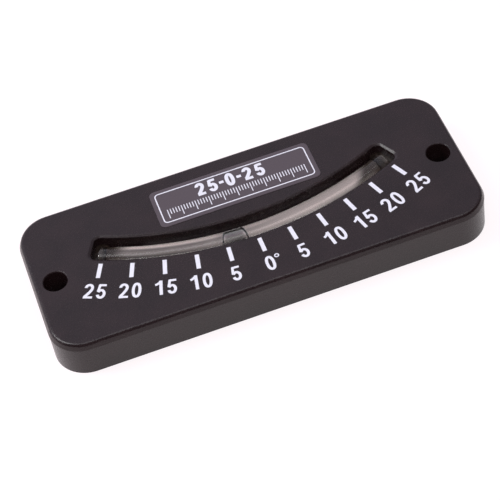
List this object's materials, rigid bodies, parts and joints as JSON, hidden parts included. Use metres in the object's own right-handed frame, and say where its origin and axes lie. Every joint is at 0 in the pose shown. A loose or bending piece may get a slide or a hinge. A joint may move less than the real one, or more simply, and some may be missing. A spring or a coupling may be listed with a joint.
{
  "type": "inclinometer",
  "caption": "Flat moulded plate with a curved window, a bent liquid-filled tube whose air bubble reads tilt against a degree scale, and fixing holes at its ends.",
  "frame": {"origin": "middle of the flat back face, with the instrument lying on its back", "axes": "+X along the plate towards the right end of the scale, +Y up the face towards the label, +Z out of the face"},
  "size_m": [0.111, 0.0446, 0.0104],
  "materials": {
    "housing_plastic": "black ABS, fine spark-eroded texture",
    "cover_plastic": "black ABS, smooth matt",
    "screw_steel": "zinc-plated steel",
    "tube_glass": "drawn clear glass",
    "plug_rubber": "matt dark rubber",
    "clear_liquid": "clear colourless spirit",
    "air": "air",
    "strip_film": "pale grey matt film",
    "clear_glue": "clear cured adhesive",
    "label_film": "satin printed film"
  },
  "bodies": {
    "housing": {"front_housing": "housing_plastic", "back_cover": "cover_plastic", "cover_screws": "screw_steel", "glass_tube": "tube_glass", "left_tube_plug": "plug_rubber", "right_tube_plug": "plug_rubber", "damping_liquid": "clear_liquid", "backing_strip": "strip_film", "left_glue_bead": "clear_glue", "right_glue_bead": "clear_glue", "face_label": "label_film"},
    "bubble": {"air_bubble": "air"}
  },
  "joints": [
    {"name": "bubble_travel", "type": "hinge", "parent": "housing", "child": "bubble", "pos_m": [0, 0.0822, 0], "axis": [0, 0, 1], "range_deg": [-19.8, 26.4], "deforming": ["damping_liquid"]}
  ]
}
